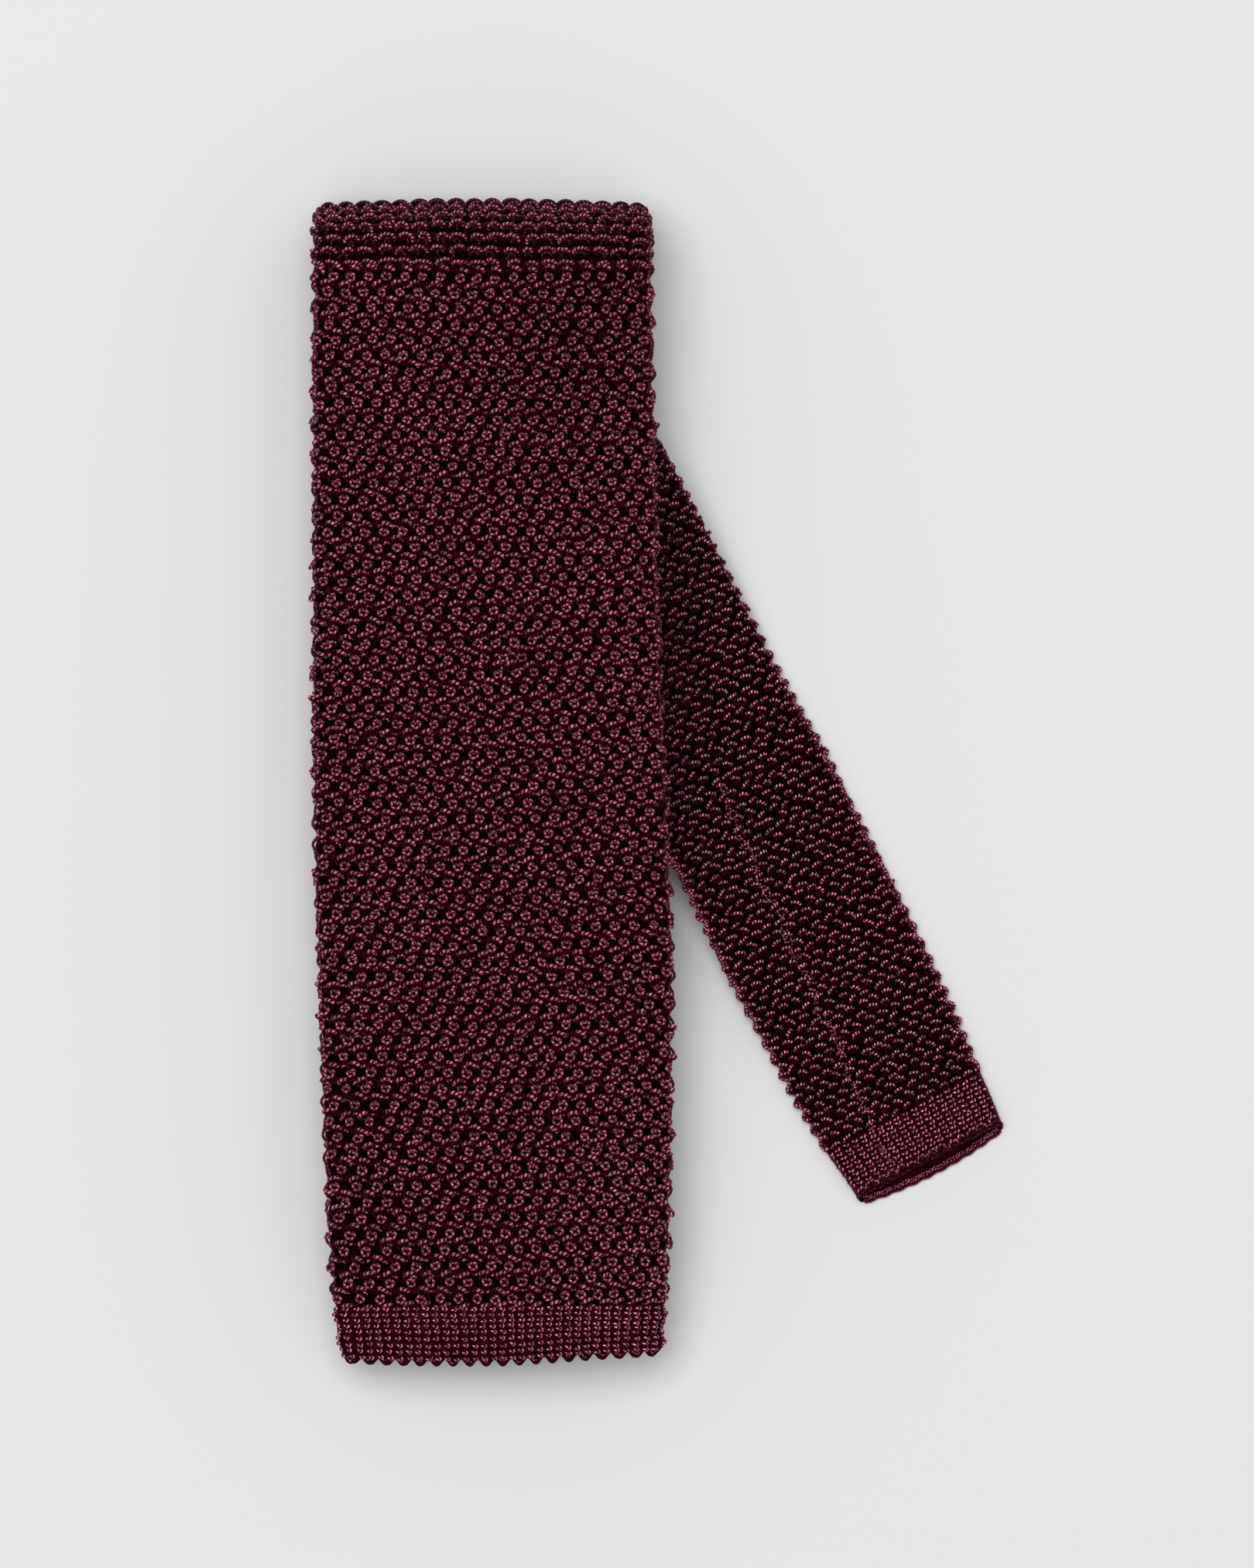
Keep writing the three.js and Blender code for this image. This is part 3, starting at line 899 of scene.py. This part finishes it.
def jittered(cells, amount):
    """The cells moved at random."""
    cells = cells.copy()
    cells[:, :2] += RNG.normal(0, amount, (len(cells), 2))
    return cells


def tilted(cells, amount):
    """The cells with the side of their row made a heading of that amount."""
    cells = cells.copy()
    cells[:, 2] *= amount
    return cells


def loop(count, across, along, rise):
    """A closed template."""
    turn = 2 * np.pi * np.arange(count) / count
    return np.stack([across * np.cos(turn), along * np.sin(turn), rise * (1 - np.sin(turn))], axis=-1)


def row_of(s, w, side=0.0):
    """Cells along one line over the surface."""
    s, w, side, stretch = np.broadcast_arrays(s, w, side, 1.0)
    return np.stack([s, w, side, stretch], axis=-1)


def add(name, mat, *rows):
    """Keep one more piece, made of these rows of yarn."""
    build_mesh(name, rows, mat)


# Templates of single stitches, as points across the row, along the tie and out of the surface
RING = mirrored(
    [
        (-0.14, 0.16, SUNK),
        (-0.32, 0.56, -0.16),
        (-0.64, 0.26, 0.0),
        (-0.62, -0.16, 0.12),
        (-0.36, -0.55, 0.24),
        (0, -0.62, 0.3),
    ]
)
BUMP = mirrored([(-0.72, 1.55, SUNK), (-0.56, 1.68, 0.0), (-0.24, 1.82, 0.16), (0, 1.76, 0.16)])
BAND = mirrored([(-1.66, 1.44, -0.4), (-0.8, 1.36, -0.34), (0, 1.44, -0.38)])
LINK = np.array([(-0.5, 0.5, -0.45), (-0.92, 0.98, -0.25), (-0.8, 1.5, -0.2)])
DASH = mirrored([(-0.42, -1.98, SUNK), (-0.22, -1.66, -0.1), (0, -1.78, -0.12)])
ARCH = mirrored(
    [(-1.2, -0.4, SUNK), (-1.0, -0.05, -0.15), (-0.66, 0.16, 0.16), (-0.3, 0.22, 0.3), (0, 0.14, 0.26)]
)
ARCH_CORE = mirrored([(-0.75, -0.95, SUNK), (-0.5, -0.55, -0.05), (0, -0.42, 0.05)])
ARCH_BAND = BAND - (0, 1.4, 0.1)
BEAD = mirrored([(-1.42, 0, SUNK), (-1.3, 0, -0.1), (-0.95, 0, 0.28), (-0.5, 0, 0.5), (0, 0, 0.58)])
PURL = mirrored([(-0.7, 0.16, SUNK), (-0.58, 0.02, -0.1), (-0.34, -0.16, 0.1), (0.0, -0.06, 0.16)])
BODY = mirrored([(-0.85, 0.62, -0.75), (-0.5, 0.52, -0.45), (0, 0.56, -0.4)])
SEAM_STROKE = np.array([(-0.4, 0.0, -0.25), (-0.15, 0.06, 0.1), (0.15, -0.06, 0.12), (0.4, 0.0, -0.25)])
HEM_STITCH = mirrored([(-0.5, -0.16, SUNK), (-0.36, 0.03, 0.0), (-0.15, 0.1, 0.08), (0, 0.0, 0.04)])
LOBE = np.array(
    [(-0.75, 0.45, SUNK), (-0.62, 0.2, 0.02), (-0.3, -0.12, 0.08), (0.05, -0.24, 0.06), (0.3, -0.2, SUNK)]
)
CHAIN = np.array([(-0.34, 0.06, -0.1), (-0.12, 0.06, 0.06), (0.12, -0.04, 0.06), (0.34, -0.06, -0.1)])
HOOP = mirrored([(-0.9, 0.5, SUNK), (-0.78, 0.1, 0.02), (-0.38, -0.2, 0.14), (0, -0.3, 0.16)])
PLAIN_RING = loop(8, 0.6, 0.6, 0.1)
PLAIN_BUMP = mirrored([(-0.66, 1.45, -0.25), (0, 1.9, 0.2)])
PLAIN_PURL = mirrored([(-0.7, 0.2, -0.25), (0, -0.1, 0.1)])

# The blade's stitches and the rows of arches over its top fold. Near the fold the stitches lie looser.
LOOSE_REACH = 15
LOOSE_AMOUNT = 0.1
FIRST_ROW = BLADE_HEM_LENGTH + 0.1
QUARTER = 0.5 * math.pi * TOP_RADIUS
ARCHES_START = BLADE_RUN - 1.6
ARCHES_END = BLADE_RUN + QUARTER + 5.5
lower = cells_over(
    FIRST_ROW,
    ARCHES_START,
    BLADE_WIDTH,
    COLUMN_PITCH,
    ROW_PITCH,
    wave=blade_wave,
    stagger=0.37,
    skew=0.1,
    drift=-0.05,
)
upper = cells_over(ARCHES_END, BACK_START, BLADE_WIDTH, COLUMN_PITCH, ROW_PITCH)
arches = cells_over(
    ARCHES_START, ARCHES_END, BLADE_WIDTH, COLUMN_PITCH, ARCH_ROW_PITCH, stagger=0.2, skew=0.02
)
loose = np.exp(-(((lower[:, 0] - BLADE_RUN) / LOOSE_REACH) ** 2))[:, None] * (1, 1, 0, 0)
lower = lower + LOOSE_AMOUNT * loose * RNG.normal(0, 1, lower.shape)
top = jittered(np.concatenate([lower, upper]), 0.06)
level_cells = tilted(top, 0.0)
arch_cells = tilted(jittered(arches, 0.13), 0.0)

# One more row of bumps closes the gap between the blade's hem and the first rings
lowest = top[top[:, 0] < FIRST_ROW + 2.2 * ROW_PITCH]
lowest = lowest[lowest[:, 2] != top[0, 2]] - (2 * ROW_PITCH, 0, 0, 0)
bump_cells = tilted(np.concatenate([lowest, top]), -0.36)
add("blade_rings", RING_YARN, stitch(level_cells, RING, 1, LEVEL, 0.27, 5, size=0.08, spin=0.35))
add("blade_bumps", YARN, stitch(bump_cells, BUMP, 1, LEVEL, 0.36, 6, size=0.08, spin=0.13))
add("blade_dashes", YARN, stitch(level_cells, DASH, 1, LEVEL, 0.22, 4, size=0.1, spin=0.25))
# Bands in painted deep shade and links in a shaded copy of the silk, between the rows
add("blade_bands", PAINTED_DEEP_SHADE_YARN, stitch(level_cells, BAND, 1, LEVEL, 0.3, 4, spin=0.05, wide=2.5))
add("blade_links", SHADED_YARN, stitch(bump_cells, LINK, 1, LEVEL, 0.2, 4, spin=0.1))
add("top_fold_arches", YARN, stitch(arch_cells, ARCH, 1, LEVEL, 0.32, 5, size=0.16, spin=0.2))
# Dashes in painted half shade and bands in painted deep shade
add("top_fold_dashes", PAINTED_HALF_SHADE_YARN, stitch(arch_cells, ARCH_CORE, 1, LEVEL, 0.25, 5, size=0.25, spin=0.5))
add("top_fold_bands", PAINTED_DEEP_SHADE_YARN, stitch(arch_cells, ARCH_BAND, 1, LEVEL, 0.3, 4, spin=0.05, wide=3))

# Beads along the top fold's outline
BEADS = 18
bead_s = BLADE_RUN + QUARTER
bead_q = 2 * (np.arange(BEADS) + 0.5) / BEADS - 1
beads = row_of(bead_s, bead_q * (half_at(bead_s) - 0.8))
bead_rows = [
    stitch(jittered(beads + (back, 0, 0, 0), 0.1), BEAD, 1, LEVEL, 0.42, 6, size=0.06)
    for back in (-1.4, -0.5, 0.5, 1.6)
]
# The beads are coloured in painted half shade
add("top_fold_beads", PAINTED_HALF_SHADE_YARN, *bead_rows)

# The tail's upper face is the tube's inner one, and its stitches point back up towards the stack.
TAIL_ROWS_END = TIE_LENGTH - TAIL_HEM_LENGTH - 0.3
tail = cells_over(TAIL_START + 3, TAIL_ROWS_END, TAIL_WIDTH, TAIL_COLUMN_PITCH, TAIL_ROW_PITCH)
tail = jittered(tail, 0.16)
tail_level = tilted(tail, 0.0)
tail_turned = tilted(tail, 0.3) + (0, 0, 0.2, 0)
add("tail_purls", TAIL_YARN, stitch(tail_turned, PURL, -1, LEVEL, 0.3, 5, size=0.1, spin=0.2))
# Bodies in painted deep shade under the purls
add("tail_bodies", PAINTED_DEEP_SHADE_YARN, stitch(tail_level, BODY, -1, LEVEL, 0.46, 4, size=0.1, spin=0.15))

# The tail's seam wanders a little from the stack down to the rim. Its points are along and across.
SEAM_S = (1374, 1381.6, 1397.6, 1418.0, 1427.3, 1437.7, 1448.4)
SEAM_W = (-3.3, -3.5, -3.9, -4.4, -5.2, -5.9, -6.6)
SEAM_PITCH = 0.5
seam_s = np.arange(SEAM_S[0], SEAM_S[-1], SEAM_PITCH)
seam_w = np.interp(seam_s, SEAM_S, SEAM_W) + 0.25 * np.sin(seam_s / 1.9)
seam = jittered(row_of(seam_s, seam_w, 0.6 * (-1.0) ** np.arange(len(seam_s))), 0.38)
add("tail_seam", YARN, stitch(seam, SEAM_STROKE, -1, -0.02, 0.15, 5, size=0.2, spin=0.6))


def hem_stitches(name, start, end, width, template, radius, shown_face, shift=None):
    """Finer stitches on both faces of a hem."""
    rows = []
    for face in (1, -1):
        cells = cells_over(start, end, width, HEM_COLUMN_PITCH, HEM_ROW_PITCH, 0.75, hem_wave, 0.12)
        cells = tilted(jittered(cells, 0.05), 0.0)
        if shift is not None:
            cells[:, 0] += shift(cells[:, 0], cells[:, 1] / (width / 2))
        level = HEM_LEVEL if face == shown_face else UNDER_LEVEL
        faced = template * (1, -face, 1)
        rows.append(stitch(cells, faced, face, level, radius, 4, size=0.08, spin=0.15, paired=HEM_LAY))
    add(name, HEM_YARN, *rows)


BLADE_HEM_STITCH = HEM_STITCH * (0.76, 1, 1)
TAIL_HEM_START = TIE_LENGTH - TAIL_HEM_LENGTH - 0.2
TAIL_HEM_END = TIE_LENGTH - 1.75
hem_stitches("blade_hem_stitches", -0.2, FIRST_ROW, BLADE_WIDTH, BLADE_HEM_STITCH, 0.32, 1, rim_tilt)
hem_stitches("tail_hem_stitches", TAIL_HEM_START, TAIL_HEM_END, TAIL_WIDTH, HEM_STITCH, 0.28, -1)


def rim_cord(face, length_of, radius, height, reach=1.0, points=420, past=0.6):
    """A cord along a hem's rim, on one face."""
    share = np.linspace(-reach, reach, points)
    s = length_of(share)
    w = share * (half_at(s) - TUBE / 2 + past)
    centres, normals = skin_frame(s[None], w[None], np.full((1, points), height), face)
    return tube_strands(centres, normals, radius, 6)


def blade_cord_length(share):
    """Where the cord of the blade's rim lies."""
    return 0.1 - BLADE_PICOT * scallop(share, BLADE_PICOTS) + rim_tilt(0.0, share)


def lip_length(share, back):
    """A line at some distance back from the edge of the tail's lower lip."""
    return TIE_LENGTH + lip_reach(share) + RIM_RIPPLE * scallop(share, TAIL_PICOTS) - back


def lip_cord_length(share):
    """Where the cord of the tail's lower lip lies."""
    return lip_length(share, 0.05)


def tail_cord_length(share):
    """Where the cord of the tail's upper rim lies."""
    return TIE_LENGTH + RIM_RIPPLE * scallop(share, TAIL_PICOTS) - 0.1


# The blade's rim
blade_cords = [rim_cord(face, blade_cord_length, 0.26, -0.34) for face in (1, -1)]
# Rim cords in the hem cloth's painted shade
add("blade_rim_cord", HEM_CLOTH_IN_PAINTED_SHADE, *blade_cords)
lobe_q = 2 * (np.arange(BLADE_PICOTS) + 0.5) / BLADE_PICOTS - 1
lobes = row_of(rim_tilt(0.0, lobe_q) - 0.1, lobe_q * (half_at(0.0) - TUBE / 2 + 0.6))
add("blade_rim_stitches", HEM_YARN, stitch(jittered(lobes, 0.1), LOBE, 1, -0.12, 0.13, 5, size=0.15))

# The tail's rim: two cords, chains along the lower lip, hoops and stitches in painted half shade along the
# upper one
lip_cord = rim_cord(1, lip_cord_length, 0.3, -0.5, reach=0.98, points=300, past=0.4)
tail_cord = rim_cord(-1, tail_cord_length, 0.28, -0.42, points=300)
# Both cords in the hem cloth's painted shade
add("tail_rim_cord", HEM_CLOTH_IN_PAINTED_SHADE, lip_cord, tail_cord)
LIP_REACH_ACROSS = half_at(TIE_LENGTH) - TUBE / 2 + 0.4
chain_q = np.linspace(-0.95, 0.95, 44)
rim_rows = []
for back in (0.55, 0.95):
    chain = row_of(lip_length(chain_q, back), chain_q * LIP_REACH_ACROSS, 0.4)
    rim_rows.append(stitch(jittered(chain, 0.05), CHAIN, 1, -0.88, 0.16, 5, size=0.15, seen=-1))
hoops = row_of(TIE_LENGTH - 1.15, np.linspace(-0.93, 0.93, 14) * LIP_REACH_ACROSS)
rim_rows.append(stitch(jittered(hoops, 0.16), HOOP, -1, -0.1, 0.26, 5, size=0.18, spin=0.25))
# Stitches over the upper rim, coloured in painted half shade
painted_shade_cells = cells_over(TIE_LENGTH - 1.0, TIE_LENGTH + 0.3, TAIL_WIDTH, 1.3, 0.65, 1.0)
painted_shade_cells = tilted(jittered(painted_shade_cells, 0.1), 0.0)
painted_shade_rows = stitch(painted_shade_cells, HEM_STITCH, -1, HEM_LEVEL, 0.22, 4, size=0.15, spin=0.4)
add("tail_rim_painted_shade_stitches", PAINTED_HALF_SHADE_YARN, painted_shade_rows)
add("tail_rim_stitches", HEM_YARN, *rim_rows)


def plain(cells, template, face, radius=0.24, closed=False):
    """Stitches of a face that is hardly seen."""
    return stitch(cells, template, face, UNDER_LEVEL, radius, 4, closed=closed)


# Plainer stitches where only a view from below or from the side finds them
OPEN_MOUTH = 24
SEEN_FROM_SIDE = 17
below = jittered(cells_over(BACK_START + 1, BACK_END, BLADE_WIDTH, COLUMN_PITCH, ROW_PITCH), 0.07)
under_blade = jittered(cells_over(FIRST_ROW, BLADE_RUN, BLADE_WIDTH, COLUMN_PITCH, ROW_PITCH, 0.4), 0.07)
near_mouth = under_blade[:, 0] < OPEN_MOUTH
under_blade = under_blade[near_mouth | (np.abs(under_blade[:, 1]) > SEEN_FROM_SIDE)]
faces = ((below, 1), (under_blade, -1))
plain_rings = [plain(tilted(cells, 0.0), PLAIN_RING, face, closed=True) for cells, face in faces]
add("underside_rings", YARN, *plain_rings)
plain_bumps = [plain(tilted(cells, 0.2), PLAIN_BUMP, face) for cells, face in faces]
add("underside_bumps", YARN, *plain_bumps)
add("tail_underside_purls", YARN, plain(tail_level, PLAIN_PURL * (1, -1, 1), 1, radius=0.26))


def edge_yarn(start, end, side, face, past, swing, period, radius, height, step, bulge=0.0):
    """Yarn that runs along one of the long edges and swings over it."""
    s = np.arange(start, end, step)
    turn = 2 * math.pi * s / period + 1.3 * np.sin(s / 11)
    w = side * (half_at(s) - TUBE / 2 + past + swing * np.sin(turn))
    out = height + bulge * np.cos(2 * turn)
    centres, normals = skin_frame(s[None], w[None], out[None], face)
    return tube_strands(centres, normals, radius, 5)


# Yarn along the long edges: face, place round the edge, swing, period, radius, height, step and bulge
inner_edges = [
    edge_yarn(BACK_END, SLANT_FOLD_AT - 6, side, 1, past, 0.3, ROW_PITCH, 0.24, -0.25, 0.85)
    for side in (1, -1)
    for past in (0.9, 1.8, 2.7)
]
add("inner_edge_yarn", YARN, *inner_edges)
blade_edges = [
    edge_yarn(BLADE_HEM_LENGTH, BACK_START, side, 1, 1.9, 0.35, 2 * ROW_PITCH, 0.28, -0.36, 0.4, 0.18)
    for side in (-1, 1)
]
hem_edges = [
    edge_yarn(0.2, BLADE_HEM_LENGTH + 0.4, side, 1, 0.6, 0.1, 1.1, 0.3, -0.3, 0.25) for side in (-1, 1)
]
add("blade_hem_edge_yarn", HEM_YARN, *hem_edges)
tail_edges = [
    edge_yarn(TAIL_START + 4, TIE_LENGTH - TAIL_HEM_LENGTH, side, -1, past, 0.4, 5.8, 0.32, -0.36, 0.42, 0.26)
    for side in (1, -1)
    for past in (1.4, 2.1)
]
add("outer_edge_yarn", YARN, *blade_edges, *tail_edges)

for cloth, node in ((tube, "knit_tube"), (blade_hem, "blade_hem"), (tail_hem, "tail_hem")):
    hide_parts(node)

# Floor, light and camera

FLOOR_REACH = 3
FLOOR_COLOUR = (0.63, 0.63, 0.63)
KEY_PLACE = (-0.54, 0.7, 4.0)
KEY_SIZE = 3.1
KEY_POWER = 124
WORLD_STRENGTH = 0.645
FRAME_HEIGHT = 0.2742
LENS = 500.0
SENSOR = 36.0
CAMERA_X = -0.00567
CAMERA_Y = -0.0005
FOCUS_HEIGHT = 0.019


def add_floor():
    """A flat pale floor."""
    corners = [(x * FLOOR_REACH, y * FLOOR_REACH, 0) for x, y in ((-1, -1), (1, -1), (1, 1), (-1, 1))]
    mesh = bpy.data.meshes.new("floor")
    mesh.from_pydata(corners, [], [(0, 1, 2, 3)])
    floor = bpy.data.objects.new("floor", mesh)
    bpy.context.collection.objects.link(floor)
    made, _, _, shader = material("pale_floor")
    shader.inputs["Base Color"].default_value = (*FLOOR_COLOUR, 1)
    shader.inputs["Roughness"].default_value = 0.9
    shader.inputs["Specular IOR Level"].default_value = 0.1
    mesh.materials.append(made)


def add_key_light():
    """One wide soft light from above, turned to the origin."""
    data = bpy.data.lights.new("key", "AREA")
    data.shape = "DISK"
    data.size = KEY_SIZE
    data.energy = KEY_POWER
    light = bpy.data.objects.new("key", data)
    light.location = KEY_PLACE
    light.rotation_euler = (-Vector(KEY_PLACE)).to_track_quat("-Z", "Y").to_euler()
    bpy.context.collection.objects.link(light)


def add_world():
    """Even white light from all round."""
    world = bpy.data.worlds.new("studio")
    world.use_nodes = True
    background = world.node_tree.nodes["Background"]
    background.inputs["Color"].default_value = (1, 1, 1, 1)
    background.inputs["Strength"].default_value = WORLD_STRENGTH
    bpy.context.scene.world = world
    bpy.context.scene.view_settings.view_transform = "Standard"


def add_camera():
    """A long lens straight above, so that the tie is seen without perspective."""
    data = bpy.data.cameras.new("camera")
    data.lens = LENS
    data.sensor_width = SENSOR
    data.clip_end = 20.0
    camera = bpy.data.objects.new("camera", data)
    distance = FRAME_HEIGHT / 2 / (SENSOR / 2 / LENS)
    camera.location = (CAMERA_X, CAMERA_Y, FOCUS_HEIGHT + distance)
    bpy.context.collection.objects.link(camera)
    bpy.context.scene.camera = camera


add_floor()
add_key_light()
add_world()
add_camera()
